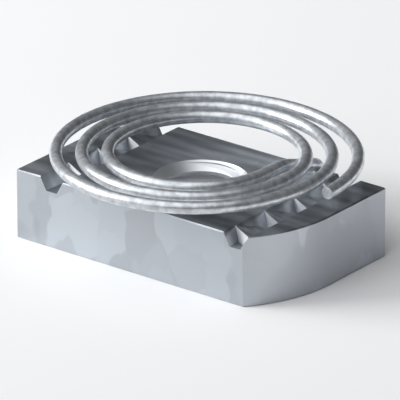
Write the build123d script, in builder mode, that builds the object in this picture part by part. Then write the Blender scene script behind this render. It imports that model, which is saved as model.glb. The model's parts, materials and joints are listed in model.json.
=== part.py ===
from build123d import *
from math import asin, cos, degrees, radians, sin, tan
import os

os.makedirs("parts", exist_ok=True)

# Spring nut for 41 mm strut channel, in millimetres.
# The origin is on the tapped hole's axis at the nut's underside. +X runs along the nut,
# +Y across it and +Z up, through the toothed face to the spring.

# ---- nut plate ----
nut_length = 34.5
nut_width = 20.2
nut_height = 8.0
turning_radius = 15.5      # of the two rounded corners, which let the nut turn in the channel
edge_break = 0.12          # bevel or rounding left on the edges that a hand meets

# ---- tapped hole, M10 ----
tap_drill_diameter = 8.5
mouth_diameter = 10.4
mouth_angle = 90           # included angle of the countersink

# ---- toothed grooves that bite the channel's two lips ----
groove_spacing = 24.8      # from the middle of one groove to the middle of the other
groove_mouth = 2.95
groove_floor = 1.45
groove_depth = 1.5
tooth_pitch = 5.05
tooth_skew = 29            # turn of a tooth's face away from square to its groove
tooth_tip = 0.1            # flat left along the top of each tooth
right_row_start = 1.25     # from the near side to the first tooth, along the groove's middle
row_stagger = 2.75         # how much later the left row starts

# ---- spring coil ----
wire_diameter = 1.4
coil_turns = 3
coil_start_radius = 8.85   # from the hole's axis to the wire's centre
turn_gap = 1.38            # between one turn and the next
coil_gap = 2.1            # between the nut and the coil

# ---- spring tail: level, then sloping down, then a leg held in a seat in the nut's far side ----
tail_level = 2.8           # how far back the level part runs, from the hole's axis
tail_gap = 0.1             # between the nut and the wire's lowest line, where the leg turns down
slope_bend = 9.0           # centreline radius of the bend into the slope
elbow_inner_bend = 0.35    # inside radius of the bend into the leg
leg_depth = 3.4            # how far the leg reaches below the top of the nut
leg_inset = 0.05           # from the nut's far side to the leg's surface
seat_clearance = 0.05      # round the leg
seat_end_gap = 0.1         # below the leg

# ---- values worked out from those above ----
half_length = nut_length / 2
half_width = nut_width / 2
wire_radius = wire_diameter / 2
mouth_depth = (mouth_diameter - tap_drill_diameter) / 2 / tan(radians(mouth_angle / 2))
corner_sweep = degrees(asin(half_width / turning_radius))
corner_centre = half_length - turning_radius
corner_end = corner_centre + turning_radius * cos(radians(corner_sweep))
coil_pitch = wire_diameter + turn_gap
coil_level = nut_height + coil_gap + wire_radius
leg_y = half_width - leg_inset - wire_radius


def toothed_groove(middle, first_tooth):
    """The metal that leaves one groove: a straight channel less the teeth that stay in it."""
    skew = radians(tooth_skew)
    tooth_run = tooth_pitch * cos(skew)
    last_start = nut_width - tooth_pitch / 2
    teeth = int((last_start - first_tooth) // tooth_pitch) + 1
    with BuildPart() as groove:
        with BuildSketch(Plane.XZ.offset(-half_width)):
            with BuildLine(Location((middle, nut_height))):
                Polyline(
                    (-groove_mouth / 2 - edge_break, 0),
                    (-groove_mouth / 2, -edge_break),
                    (-groove_floor / 2, -groove_depth),
                    (groove_floor / 2, -groove_depth),
                    (groove_mouth / 2, -edge_break),
                    (groove_mouth / 2 + edge_break, 0),
                    close=True,
                )
            make_face()
        extrude(amount=nut_width)
        for tooth in range(teeth):
            # each tooth has an upright face, a narrow tip and a ramp down to the next tooth's foot
            tooth_y = first_tooth + tooth * tooth_pitch - half_width
            tooth_plane = Plane(
                origin=(middle, tooth_y, nut_height),
                x_dir=(sin(skew), cos(skew), 0),
                z_dir=(cos(skew), -sin(skew), 0),
            )
            with BuildSketch(tooth_plane):
                with BuildLine():
                    Polyline(
                        (0, 0),
                        (0, -2 * groove_depth),
                        (tooth_run, -2 * groove_depth),
                        (tooth_run, -groove_depth),
                        (tooth_tip, 0),
                        close=True,
                    )
                make_face()
            extrude(amount=groove_mouth, both=True, mode=Mode.SUBTRACT)
    return groove.part


right_groove = toothed_groove(groove_spacing / 2, right_row_start)
left_groove = toothed_groove(-groove_spacing / 2, right_row_start + row_stagger)

# ---- nut plate, one piece of steel ----
with BuildPart() as channel_nut:
    with BuildSketch():
        with BuildLine():
            CenterArc((corner_centre, 0), turning_radius, -corner_sweep, corner_sweep)
            Polyline((half_length, 0), (half_length, half_width), (-corner_end, half_width))
            CenterArc((-corner_centre, 0), turning_radius, 180 - corner_sweep, corner_sweep)
            Polyline((-half_length, 0), (-half_length, -half_width), (corner_end, -half_width))
        make_face()
    extrude(amount=nut_height)
    uprights = edges().filter_by(Axis.Z).group_by(Axis.Y)
    fillet(uprights[0] + uprights[-1], edge_break)
    chamfer(faces().filter_by(Axis.Z).edges(), edge_break)
    add(right_groove, mode=Mode.SUBTRACT)
    add(left_groove, mode=Mode.SUBTRACT)
    # the seat of the spring's leg is open to the far side
    with BuildSketch(Plane.XY.offset(nut_height)):
        seat_radius = wire_radius + seat_clearance
        with Locations((coil_start_radius, leg_y)):
            Circle(seat_radius)
            Rectangle(2 * seat_radius, 2 * wire_diameter, align=(Align.CENTER, Align.MIN))
    extrude(amount=-(leg_depth + seat_end_gap), mode=Mode.SUBTRACT)
    with Locations((0, 0, nut_height)):
        CounterSinkHole(tap_drill_diameter / 2, mouth_diameter / 2, counter_sink_angle=mouth_angle)
channel_nut.part.label = "channel_nut"
export_step(channel_nut.part, "parts/channel_nut.step")

# ---- the wire's centreline: the coil is quarter turns, each a step wider than the last, ----
# ---- about the corners of a small square, and the tail runs back from its inner end ----
quarter_step = coil_pitch / 4
half_step = quarter_step / 2
quarter_centres = [
    (-half_step, -half_step),
    (-half_step, half_step),
    (half_step, half_step),
    (half_step, -half_step),
]
with BuildLine(Plane.XY.offset(coil_level)) as coil_line:
    for quarter in range(4 * coil_turns):
        radius = coil_start_radius + half_step + quarter * quarter_step
        CenterArc(quarter_centres[quarter % 4], radius, -90 * quarter, -90)

with BuildLine(Plane.YZ.offset(coil_start_radius)) as tail_line:
    FilletPolyline(
        (-half_step, coil_level),
        (tail_level, coil_level),
        (leg_y, nut_height + tail_gap + wire_radius),
        (leg_y, nut_height - leg_depth),
        radius=[slope_bend, elbow_inner_bend + wire_radius],
    )

# ---- spring, one length of round wire ----
with BuildPart() as top_spring:
    with BuildLine() as wire_line:
        add(tail_line.line)
        add(coil_line.line)
    wire_path = wire_line.wire()
    with BuildSketch(Plane(wire_path @ 0, z_dir=wire_path % 0)):
        Circle(wire_radius)
    sweep(path=wire_path)
top_spring.part.label = "top_spring"
export_step(top_spring.part, "parts/top_spring.step")

print("nut volume", round(channel_nut.part.volume, 1), "mm3")
print("threaded length", round(nut_height - mouth_depth, 2), "mm")
print("wire length", round(wire_path.length, 1), "mm")
print("spring volume", round(top_spring.part.volume, 2), "mm3")
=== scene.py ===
# %% [markdown]
# # A spring nut for strut channel, dressed in Blender
#
# The part is two pieces of metal: a thick steel nut with two rows of teeth, and a flat spiral
# spring that holds it in the channel. Both were made first as solids, at their real size, and
# this script loads them as a fixed frame. It adds what the solids leave out: the screw thread,
# the zinc finish of the nut and of the wire, a floor, a soft studio and a camera.

# %% Load the frame
import json
import math

import bpy
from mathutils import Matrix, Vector


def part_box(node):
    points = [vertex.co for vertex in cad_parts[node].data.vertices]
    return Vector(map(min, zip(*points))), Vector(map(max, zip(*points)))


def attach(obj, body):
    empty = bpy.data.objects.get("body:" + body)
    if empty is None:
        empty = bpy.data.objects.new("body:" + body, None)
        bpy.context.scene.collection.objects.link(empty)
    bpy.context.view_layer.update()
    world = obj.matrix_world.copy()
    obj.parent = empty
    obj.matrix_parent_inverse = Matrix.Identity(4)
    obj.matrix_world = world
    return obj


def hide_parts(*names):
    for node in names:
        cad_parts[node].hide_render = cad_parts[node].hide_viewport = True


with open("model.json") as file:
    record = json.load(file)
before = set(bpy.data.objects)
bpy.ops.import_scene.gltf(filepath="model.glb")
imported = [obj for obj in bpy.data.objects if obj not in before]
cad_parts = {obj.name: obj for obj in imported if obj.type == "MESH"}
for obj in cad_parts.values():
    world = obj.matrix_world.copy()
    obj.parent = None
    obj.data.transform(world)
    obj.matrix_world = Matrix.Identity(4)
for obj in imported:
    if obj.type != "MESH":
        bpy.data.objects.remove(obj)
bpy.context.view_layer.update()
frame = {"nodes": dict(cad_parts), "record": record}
NODES = frame["nodes"]
MM = 0.001


# %% [markdown]
# ## Reading the frame
#
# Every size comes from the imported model. The tapped hole's radius and length are stated in the
# record, and the nut's box gives the rest, so nothing here has to be measured by eye.

# %% Sizes taken from the frame
nut_low, nut_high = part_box("channel_nut")
spring_low, spring_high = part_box("top_spring")
mounts = {mount["name"]: mount for mount in frame["record"]["mounts"]}
bore_radius = mounts["tapped_hole"]["dims"]["r_mm"] * MM
bore_length = mounts["tapped_hole"]["dims"]["length_mm"] * MM
nut_top = nut_high.z
print("bore", bore_radius / MM, "mm radius,", bore_length / MM, "mm of plain wall")
print("spring", round((spring_high.x - spring_low.x) / MM, 2), "mm across")


# %% [markdown]
# ## Small helpers
#
# An operator acts on everything that is selected, so each step first deselects everything and
# then picks its own object. Corners and faces are picked by a test on their place or direction.
# The test is run in object mode, because edit mode works on a copy of the mesh.

# %% Helpers for selecting and applying
def pick(thing):
    """Selects one object alone and makes it the active one."""
    bpy.ops.object.select_all(action="DESELECT")
    thing.select_set(True)
    bpy.context.view_layer.objects.active = thing


def pick_parts(thing, kind, wanted):
    """Selects the corners ("VERT") or the faces ("FACE") that pass a test, ready to edit."""
    pick(thing)
    bpy.ops.object.mode_set(mode="EDIT")
    bpy.ops.mesh.select_mode(type=kind)
    bpy.ops.mesh.select_all(action="DESELECT")
    bpy.ops.object.mode_set(mode="OBJECT")
    parts = thing.data.vertices if kind == "VERT" else thing.data.polygons
    for part in parts:
        part.select = wanted(part)
    print(thing.name, "picked:", sum(part.select for part in parts), "of", len(parts), kind)
    bpy.ops.object.mode_set(mode="EDIT")


def apply_modifier(thing, kind, **settings):
    """Adds a modifier, sets it and applies it to the mesh."""
    pick(thing)
    modifier = thing.modifiers.new(kind.title(), kind)
    for name, value in settings.items():
        setattr(modifier, name, value)
    bpy.ops.object.modifier_apply(modifier=modifier.name)


# %% [markdown]
# ## The screw thread
#
# On the real nut a tap cuts the thread: a pointed tool winds down the drilled hole and takes out
# one long V-shaped groove. The same thing is done here. The tool is a flat profile of the groove,
# which the Screw modifier winds up the hole's axis. It could also be painted on as bump, but then
# the groove would not break into the countersink, where the real one leaves a thin crescent.
#
# The M10 coarse thread has a pitch of 1.5 mm and flanks at 60 degrees to each other. Its root is
# flat for an eighth of the pitch.

# %% The tap: a flat strip, as wide as the groove is at the tool's back
THREAD_PITCH = 1.5 * MM
THREAD_ROOT_RADIUS = 5.0 * MM
THREAD_RELIEF = 0.15 * MM       # how far the tool's back stands inside the drilled wall
FLANK_ANGLE = math.radians(30)  # of one flank, from straight across the axis

root_half = THREAD_PITCH / 8 / 2
back_radius = bore_radius - THREAD_RELIEF
back_half = root_half + (THREAD_ROOT_RADIUS - back_radius) * math.tan(FLANK_ANGLE)
middle_radius = (back_radius + THREAD_ROOT_RADIUS) / 2

bpy.ops.object.select_all(action="DESELECT")
bpy.ops.mesh.primitive_plane_add(
    size=1, location=(middle_radius, 0, -THREAD_PITCH), rotation=(math.radians(90), 0, 0)
)
tap = bpy.context.object
tap.name = "tap"
tap.scale = (THREAD_ROOT_RADIUS - back_radius, 2 * back_half, 1)
bpy.ops.object.transform_apply(location=True, rotation=True, scale=True)
print("groove", round(2 * back_half / MM, 3), "mm wide at the tool's back")

# %% The tap: the outer side drawn in, which makes the V
pick_parts(tap, "VERT", lambda corner: corner.co.x > middle_radius)
bpy.ops.transform.resize(
    value=(1, 1, root_half / back_half), center_override=(THREAD_ROOT_RADIUS, 0, -THREAD_PITCH)
)
bpy.ops.object.mode_set(mode="OBJECT")
for corner in tap.data.vertices:
    print("corner at", [round(v / MM, 3) for v in corner.co])

# %% The tap: wound up the axis and closed at both ends
STEPS_A_TURN = 72
SPARE_TURNS = 2                 # so that the groove runs out past both faces of the nut

turns = math.ceil(nut_top / THREAD_PITCH) + SPARE_TURNS
pick(tap)
bpy.ops.object.mode_set(mode="EDIT")
bpy.ops.mesh.select_all(action="SELECT")
bpy.ops.mesh.delete(type="ONLY_FACE")
bpy.ops.object.mode_set(mode="OBJECT")
apply_modifier(
    tap,
    "SCREW",
    axis="Z",
    angle=math.tau,
    screw_offset=THREAD_PITCH,
    iterations=turns,
    steps=STEPS_A_TURN,
    render_steps=STEPS_A_TURN,
    use_smooth_shade=False,
)
bpy.ops.object.mode_set(mode="EDIT")
bpy.ops.mesh.select_all(action="DESELECT")
bpy.ops.mesh.select_mode(type="EDGE")
bpy.ops.mesh.select_non_manifold()
bpy.ops.mesh.fill_holes(sides=4)
print("tap:", turns, "turns")

# %% The tap: faces turned outwards, and the whole turned to where the thread starts
THREAD_START = 55               # degrees round the hole, where the groove leaves the countersink

bpy.ops.mesh.select_all(action="SELECT")
bpy.ops.mesh.normals_make_consistent(inside=False)
# With no window this operator turns the other way, so the angle is given a minus sign.
bpy.ops.transform.rotate(
    value=-math.radians(THREAD_START), orient_axis="Z", center_override=(0, 0, 0)
)
bpy.ops.object.mode_set(mode="OBJECT")
print("tap:", len(tap.data.polygons), "faces")

# %% [markdown]
# ## The nut, with its thread cut
#
# The solid nut has the right outline, grooves and teeth already, so it isn't modelled again. Its
# mesh is copied, its loose triangles are merged into clean flat faces, and the tap is taken away
# from it. The finished piece then stands for the solid one.

# %% Copy and clean the nut
SAME_POINT = 0.0005 * MM
STILL_FLAT = math.radians(0.05)

nut = bpy.data.objects.new("nut_plate", NODES["channel_nut"].data.copy())
bpy.context.scene.collection.objects.link(nut)
pick(nut)
if nut.data.has_custom_normals:
    bpy.ops.mesh.customdata_custom_splitnormals_clear()
bpy.ops.object.mode_set(mode="EDIT")
bpy.ops.mesh.select_all(action="SELECT")
bpy.ops.mesh.remove_doubles(threshold=SAME_POINT)
bpy.ops.mesh.dissolve_limited(angle_limit=STILL_FLAT)
bpy.ops.object.mode_set(mode="OBJECT")
print("nut before the thread:", len(nut.data.polygons), "faces")

# %% Cut the thread
SMOOTH_BELOW = math.radians(12) # steeper edges stay crisp

apply_modifier(nut, "BOOLEAN", operation="DIFFERENCE", solver="EXACT", object=tap)
pick(tap)
bpy.ops.object.delete()
pick(nut)
bpy.ops.object.shade_smooth_by_angle(angle=SMOOTH_BELOW)
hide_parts("channel_nut")
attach(nut, "root")
print("nut with the thread:", len(nut.data.polygons), "faces")


# %% [markdown]
# ## Building a material
#
# One function turns the written colours into the linear ones that the shader works in, and one
# adds a node, gives it its settings and links what feeds it. Every pattern is laid out by the
# place on the piece itself, in millimetres, so its scale can be a real size.

# %% Helpers for materials
NOISE_RANGE = (0.35, 0.65)      # nearly all the values of a noise texture lie between these


def linear(hex_colour):
    """An sRGB colour written as hex, as linear red, green, blue and alpha."""
    channels = [int(hex_colour[i : i + 2], 16) / 255 for i in (1, 3, 5)]
    return [c / 12.92 if c <= 0.04045 else ((c + 0.055) / 1.055) ** 2.4 for c in channels] + [1]


def node(tree, kind, settings=None, inputs=None):
    """Adds a node. An input is given by name or number, as a value or as another node's output."""
    made = tree.nodes.new(kind)
    for name, value in (settings or {}).items():
        setattr(made, name, value)
    for name, value in (inputs or {}).items():
        if isinstance(value, bpy.types.NodeSocket):
            tree.links.new(value, made.inputs[name])
        else:
            made.inputs[name].default_value = value
    return made


def new_material(name):
    """An empty material, with its node tree."""
    material = bpy.data.materials.new(name)
    material.use_nodes = True
    material.node_tree.nodes.clear()
    return material, material.node_tree


def place_in_mm(tree):
    """The place on the piece itself, in millimetres."""
    place = node(tree, "ShaderNodeTexCoord").outputs["Object"]
    in_mm = node(tree, "ShaderNodeVectorMath", {"operation": "SCALE"}, {0: place, "Scale": 1 / MM})
    return in_mm.outputs[0]


def set_stops(ramp, stops):
    """Gives a colour ramp its colours, as pairs of a position and a hex colour, in order."""
    while len(ramp.elements) < len(stops):
        ramp.elements.new(1)
    for element, (position, hex_colour) in zip(ramp.elements, stops):
        element.position = position
        element.color = linear(hex_colour)


# %% [markdown]
# ## Hot-dip galvanised steel
#
# The nut is dipped in molten zinc. As the zinc sets it grows flat crystals, called spangle, a few
# millimetres across. Each crystal catches the light a little differently, so the face looks like
# a patchwork of soft greys with a hint of blue. A thin bloom of oxide dulls the bright metal, so
# the shader is mostly metal with a share of matt, and the reflections are satin.
#
# A Voronoi texture makes the crystals, because its cells grow from scattered seeds just as the
# zinc does. A little noise bends the cells' sides, and the cells are drawn taller than they are
# wide.

# %% The pattern of the crystals
SPANGLE_SIZE = 3.8              # mm across one crystal
SPANGLE_STRETCH = 0.6           # how much flatter the pattern is read upwards: crystals stand tall
SPANGLE_BEND = 1.6              # mm that a crystal's side wanders
BEND_SIZE = 2.5                 # mm from one bend of a side to the next
SPANGLE_BLEND = 0.12            # how softly one crystal runs into the next

zinc, tree = new_material("hot_dip_galvanised_steel")
in_mm = place_in_mm(tree)
stretched = node(
    tree, "ShaderNodeMapping", inputs={"Vector": in_mm, "Scale": (1, 1, SPANGLE_STRETCH)}
)
wander = node(
    tree,
    "ShaderNodeTexNoise",
    inputs={"Vector": stretched.outputs[0], "Scale": 1 / BEND_SIZE, "Detail": 1},
)
centred = node(
    tree,
    "ShaderNodeVectorMath",
    {"operation": "SUBTRACT"},
    {0: wander.outputs["Color"], 1: (0.5, 0.5, 0.5)},
)
bent = node(
    tree,
    "ShaderNodeVectorMath",
    {"operation": "MULTIPLY_ADD"},
    {0: centred.outputs[0], 1: (2 * SPANGLE_BEND,) * 3, 2: stretched.outputs[0]},
)
crystals = node(
    tree,
    "ShaderNodeTexVoronoi",
    {"feature": "SMOOTH_F1"},
    {"Vector": bent.outputs[0], "Scale": 1 / SPANGLE_SIZE, "Smoothness": SPANGLE_BLEND},
)
print("crystals:", SPANGLE_SIZE, "mm across")

# %% The grey and the polish of each crystal
CRYSTAL_GREYS = [(0, "#b8bcc2"), (0.55, "#bdc2c8"), (1, "#cad0d6")]
CRYSTAL_ROUGHNESS = (0.36, 0.48)

crystal_tone = node(tree, "ShaderNodeSeparateColor", inputs={"Color": crystals.outputs["Color"]})
zinc_greys = node(tree, "ShaderNodeValToRGB", inputs={"Fac": crystal_tone.outputs["Red"]})
set_stops(zinc_greys.color_ramp, CRYSTAL_GREYS)
crystal_polish = node(
    tree,
    "ShaderNodeMapRange",
    inputs={
        "Value": crystal_tone.outputs["Green"],
        "To Min": CRYSTAL_ROUGHNESS[0],
        "To Max": CRYSTAL_ROUGHNESS[1],
    },
)
print("greys:", [hex_colour for position, hex_colour in CRYSTAL_GREYS])

# %% [markdown]
# ## Painted shade in bands along the flat top
#
# The top is painted darker than the sides, in soft bands that run along the nut: painted shade,
# with streaks of painted reflection. The bands are noise stretched along X. The walls of the
# grooves get the same painted shade, so it lies on every face that looks up, and the upright
# sides stay clear of it.

# %% The painted shade bands, and where they lie
SHADE_BAND_WIDTH = 2.0                 # mm across one band
SHADE_BAND_LENGTH = 14                # mm that one band runs
PAINTED_SHADE_DEPTH = 0.5             # how much darker the darkest band of painted shade is
LOOKS_UP = (0.3, 0.45)          # how far up a face looks where they start and where they are full

drawn_out = node(
    tree,
    "ShaderNodeMapping",
    inputs={"Vector": in_mm, "Scale": (1 / SHADE_BAND_LENGTH, 1 / SHADE_BAND_WIDTH, 0)},
)
shade_bands = node(
    tree, "ShaderNodeTexNoise", inputs={"Vector": drawn_out.outputs[0], "Scale": 1, "Detail": 1}
)
# painted shade: each band darkens the grey by up to the depth set above
painted_shade = node(
    tree,
    "ShaderNodeMapRange",
    inputs={
        "Value": shade_bands.outputs["Fac"],
        "From Min": NOISE_RANGE[0],
        "From Max": NOISE_RANGE[1],
        "To Max": PAINTED_SHADE_DEPTH,
    },
)
direction = node(tree, "ShaderNodeTexCoord").outputs["Normal"]
facing = node(tree, "ShaderNodeSeparateXYZ", inputs={"Vector": direction})
looks_up = node(
    tree,
    "ShaderNodeMapRange",
    inputs={"Value": facing.outputs["Z"], "From Min": LOOKS_UP[0], "From Max": LOOKS_UP[1]},
)
print("bands:", SHADE_BAND_WIDTH, "mm across")

# %% The greys, darkened by the painted shade bands
painted_shade_up = node(
    tree,
    "ShaderNodeMath",
    {"operation": "MULTIPLY"},
    {0: painted_shade.outputs["Result"], 1: looks_up.outputs["Result"]},
)
left = node(tree, "ShaderNodeMath", {"operation": "SUBTRACT"}, {0: 1, 1: painted_shade_up.outputs[0]})
greys_with_painted_shade = node(
    tree,
    "ShaderNodeVectorMath",
    {"operation": "SCALE"},
    {0: zinc_greys.outputs["Color"], "Scale": left.outputs[0]},
)
# painted shade: the darkest band keeps this share of the grey
print("the dullest band gives back", 1 - PAINTED_SHADE_DEPTH, "of the light")

# %% The satin grain, and the finished coat
METAL_SHARE = 0.82              # the rest is the matt bloom
SATIN_GRAIN = 0.25              # mm, coarser than the real grain so that it shows
GRAIN_HEIGHT = 0.02             # mm
GRAIN_STRENGTH = 0.05

grain = node(
    tree,
    "ShaderNodeTexNoise",
    inputs={"Vector": in_mm, "Scale": 1 / SATIN_GRAIN, "Detail": 2},
)
relief = node(
    tree,
    "ShaderNodeBump",
    inputs={
        "Strength": GRAIN_STRENGTH,
        "Distance": GRAIN_HEIGHT * MM,
        "Height": grain.outputs["Fac"],
    },
)
coat = node(
    tree,
    "ShaderNodeBsdfPrincipled",
    inputs={
        "Base Color": greys_with_painted_shade.outputs[0],
        "Metallic": METAL_SHARE,
        "Roughness": crystal_polish.outputs["Result"],
        "Normal": relief.outputs["Normal"],
    },
)
node(tree, "ShaderNodeOutputMaterial", inputs={"Surface": coat.outputs["BSDF"]})
nut.data.materials.clear()
nut.data.materials.append(zinc)
print("material:", zinc.name)

# %% [markdown]
# ## Cut steel in the hole
#
# The hole is countersunk and tapped after the dip, or the zinc would clog the thread. So its walls
# are bare cut steel: brighter than the zinc, without spangle, and with fine rings where the tool
# turned. The rings are 0.12 mm apart, coarser than the real ones, so that they show.

# %% The finish of the cut steel
TOOL_RING = 0.12                # mm from one ring to the next
RING_HEIGHT = 0.02              # mm
RING_STRENGTH = 0.15
WAVE_RING = math.tau / 20       # width of one ring of the Wave texture at a scale of 1

cut_steel, tree = new_material("cut_steel")
rings = node(
    tree,
    "ShaderNodeTexWave",
    {"wave_type": "RINGS", "rings_direction": "Z"},
    {"Vector": place_in_mm(tree), "Scale": WAVE_RING / TOOL_RING, "Distortion": 0.2},
)
ring_relief = node(
    tree,
    "ShaderNodeBump",
    inputs={
        "Strength": RING_STRENGTH,
        "Distance": RING_HEIGHT * MM,
        "Height": rings.outputs["Fac"],
    },
)
cut = node(
    tree,
    "ShaderNodeBsdfPrincipled",
    inputs={
        "Base Color": linear("#e6e8ea"),
        "Metallic": 0.75,
        "Roughness": 0.42,
        "Normal": ring_relief.outputs["Normal"],
    },
)
node(tree, "ShaderNodeOutputMaterial", inputs={"Surface": cut.outputs["BSDF"]})
print("material:", cut_steel.name)

# %% [markdown]
# The walls of the hole are picked by how far their middles lie from its axis. The middle of the
# flat top lies near the axis too, so a face that looks straight up or down is left out.

# %% Coat the walls of the hole
HOLE_REACH = 1.3                # just past the countersink's mouth, as a share of the bore's radius
FLAT_FROM = 0.95                # how far up or down a face looks when it counts as flat


def coat_faces(piece, material, wanted):
    """Gives the faces that pass the test a material of their own."""
    piece.data.materials.append(material)
    piece.active_material_index = len(piece.data.materials) - 1
    pick_parts(piece, "FACE", wanted)
    bpy.ops.object.material_slot_assign()
    bpy.ops.object.mode_set(mode="OBJECT")


def in_the_hole(face):
    reach = face.center.xy.length
    return reach < HOLE_REACH * bore_radius and abs(face.normal.z) < FLAT_FROM


coat_faces(nut, cut_steel, in_the_hole)

# %% [markdown]
# ## A painted highlight on the tooth faces
#
# The steep front face of each tooth is painted near white: a painted highlight, so that each tooth
# shows one light facet. It is more matt than the rest of the nut and has no spangle, in a material
# of its own: a little metal under the painted white.
#
# The faces are picked by the way they look: upright, and turned towards the near left.

# %% Pick the tooth faces and give them the painted highlight
TOOTH_SKEW = math.radians(29)
SAME_WAY = 0.97                 # cosine between two directions that count as the same
GROOVES_FROM = 10 * MM          # from the nut's middle
END_MARGIN = 2 * MM             # keeps the nut's ends out

tooth_faces_look = Vector((-math.sin(TOOTH_SKEW), -math.cos(TOOTH_SKEW), 0))
# painted highlight: a near-white colour on the tooth faces, standing in for the light they catch
tooth_highlight_paint, tree = new_material("tooth_painted_highlight")
tooth_highlight_coat = node(
    tree,
    "ShaderNodeBsdfPrincipled",
    inputs={"Base Color": linear("#f1f4f7"), "Metallic": 0.35, "Roughness": 0.5},
)
node(tree, "ShaderNodeOutputMaterial", inputs={"Surface": tooth_highlight_coat.outputs["BSDF"]})


def on_a_tooth(face):
    turned = face.normal.dot(tooth_faces_look) > SAME_WAY
    in_a_groove = GROOVES_FROM < abs(face.center.x) < nut_high.x - END_MARGIN
    return turned and in_a_groove and face.center.z > nut_top / 2


coat_faces(nut, tooth_highlight_paint, on_a_tooth)

# %% [markdown]
# ## Galvanised spring wire
#
# Spring wire is drawn through a die after it is coated, so its zinc is smoother and brighter than
# the nut's, with small dull and bright patches wrapped round it. It has the same thin bloom. The
# solid wire's shape is right as it is: it only needs this finish.

# %% The wire's zinc coat
PATCH_SIZE = 0.8                # mm across one dull or bright patch
WIRE_METAL_SHARE = 0.65
WIRE_ROUGHNESS = 0.3

wire_zinc, tree = new_material("galvanised_spring_wire")
patches = node(
    tree,
    "ShaderNodeTexNoise",
    inputs={"Vector": place_in_mm(tree), "Scale": 1 / PATCH_SIZE, "Detail": 2},
)
wire_greys = node(tree, "ShaderNodeValToRGB", inputs={"Fac": patches.outputs["Fac"]})
set_stops(wire_greys.color_ramp, [(NOISE_RANGE[0], "#bcc0c4"), (NOISE_RANGE[1], "#dfe3e7")])
wire_coat = node(
    tree,
    "ShaderNodeBsdfPrincipled",
    inputs={
        "Base Color": wire_greys.outputs["Color"],
        "Metallic": WIRE_METAL_SHARE,
        "Roughness": WIRE_ROUGHNESS,
    },
)
node(tree, "ShaderNodeOutputMaterial", inputs={"Surface": wire_coat.outputs["BSDF"]})
spring = NODES["top_spring"]
spring.material_slots[0].material = wire_zinc
print("material:", wire_zinc.name)

# %% [markdown]
# ## Floor
#
# A plain pale sheet, large enough to fill every view. It is only a surface to stand on and isn't
# part of the object.

# %% The floor
FLOOR_SIZE = 4.0                # m

bpy.ops.object.select_all(action="DESELECT")
bpy.ops.mesh.primitive_plane_add(size=FLOOR_SIZE, location=(0, 0, nut_low.z))
floor = bpy.context.object
floor.name = "floor"
paper, tree = new_material("matt_white_paper")
sheet = node(
    tree, "ShaderNodeBsdfDiffuse", inputs={"Color": linear("#f8f8f8"), "Roughness": 0.5}
)
node(tree, "ShaderNodeOutputMaterial", inputs={"Surface": sheet.outputs["BSDF"]})
floor.data.materials.append(paper)
print("floor:", FLOOR_SIZE, "m square")


# %% [markdown]
# ## A soft studio
#
# Metal shows what is around it, so the room matters more than any lamp. In a studio, small bright
# things stand on a white table, a wide white cloth hangs over and in front of them, and the far
# wall is kept dark. The tops of the wires and the wall of the countersink then turn bright, and
# the flat top, which mirrors the far wall, stays dark.
#
# The cloth is drawn in the world: the brightness follows how far a direction leans towards the
# middle of the cloth.

# %% The cloth and the dark wall
CLOTH_TOWARDS = Vector((-0.2, -0.5, 0.84)).normalized()
CLOTH_BRIGHTNESS = 1.45
WALL_BRIGHTNESS = 0.02
CLOTH_EDGE = 0.5                # cosine of the angle at which the cloth has faded into the wall
CLOTH_FULL = 0.95               # cosine of the angle inside which it is fully bright

studio = bpy.data.worlds.new("studio")
bpy.context.scene.world = studio
studio.use_nodes = True
tree = studio.node_tree
tree.nodes.clear()
looking = node(tree, "ShaderNodeTexCoord").outputs["Generated"]
lean = node(
    tree, "ShaderNodeVectorMath", {"operation": "DOT_PRODUCT"}, {0: looking, 1: CLOTH_TOWARDS}
)
brightness = node(
    tree,
    "ShaderNodeMapRange",
    {"interpolation_type": "SMOOTHSTEP"},
    {
        "Value": lean.outputs["Value"],
        "From Min": CLOTH_EDGE,
        "From Max": CLOTH_FULL,
        "To Min": WALL_BRIGHTNESS,
        "To Max": CLOTH_BRIGHTNESS,
    },
)
air = node(
    tree,
    "ShaderNodeBackground",
    inputs={"Color": linear("#fafcff"), "Strength": brightness.outputs["Result"]},
)
node(tree, "ShaderNodeOutputWorld", inputs={"Surface": air.outputs["Background"]})
print("cloth:", CLOTH_BRIGHTNESS, "wall:", WALL_BRIGHTNESS)

# %% [markdown]
# One soft lamp low on the left gives the shadow. The end of the nut mirrors the table where that
# shadow lies, so it comes out darker than the long face.

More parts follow.
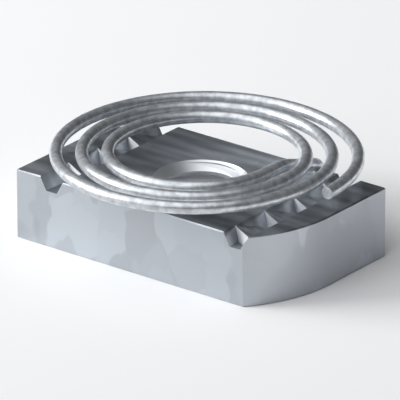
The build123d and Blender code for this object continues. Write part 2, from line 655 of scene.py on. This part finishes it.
# %% The soft lamp
LAMP_TOWARDS = Vector((-0.75, -0.50, 0.38)).normalized()
LAMP_DISTANCE = 0.45            # m
LAMP_SIZE = 0.25                # m
LAMP_POWER = 2.15               # W

bpy.ops.object.select_all(action="DESELECT")
bpy.ops.object.light_add(type="AREA", location=LAMP_TOWARDS * LAMP_DISTANCE)
lamp = bpy.context.object
lamp.name = "soft_lamp"
lamp.data.size = LAMP_SIZE
lamp.data.energy = LAMP_POWER
lamp.rotation_euler = LAMP_TOWARDS.to_track_quat("Z", "Y").to_euler()
print("lamp:", LAMP_POWER, "W,", LAMP_SIZE, "m wide")

# %% [markdown]
# ## Camera
#
# A long lens from well back, so that the nut's far side looks hardly smaller than its near side.
# It looks down on the long face and the right-hand end.

# %% Which way the camera looks
CAMERA_AZIMUTH = math.radians(37.8)
CAMERA_ELEVATION = math.radians(22.84)

back = Vector(
    (
        math.sin(CAMERA_AZIMUTH) * math.cos(CAMERA_ELEVATION),
        -math.cos(CAMERA_AZIMUTH) * math.cos(CAMERA_ELEVATION),
        math.sin(CAMERA_ELEVATION),
    )
)
right = Vector((math.cos(CAMERA_AZIMUTH), math.sin(CAMERA_AZIMUTH), 0))
up = back.cross(right)
print("the camera stands towards", [round(v, 3) for v in back])

# %% The camera
CAMERA_DISTANCE = 752.7 * MM
VIEW_WIDTH = 43.0 * MM          # what the picture takes in, at the object
AIM = (-0.05 * MM, 1.34 * MM)   # right and up from the nut's middle
NEAREST_SEEN = 10 * MM
FARTHEST_SEEN = 10              # m

aim = Vector((0, 0, nut_top / 2)) + right * AIM[0] + up * AIM[1]
bpy.ops.object.select_all(action="DESELECT")
bpy.ops.object.camera_add(location=aim + back * CAMERA_DISTANCE)
camera = bpy.context.object
camera.rotation_euler = back.to_track_quat("Z", "Y").to_euler()
camera.data.lens = camera.data.sensor_width * CAMERA_DISTANCE / VIEW_WIDTH
camera.data.clip_start = NEAREST_SEEN
camera.data.clip_end = FARTHEST_SEEN
bpy.context.scene.camera = camera
bpy.context.scene.view_settings.view_transform = "Standard"
print("lens:", round(camera.data.lens), "mm")
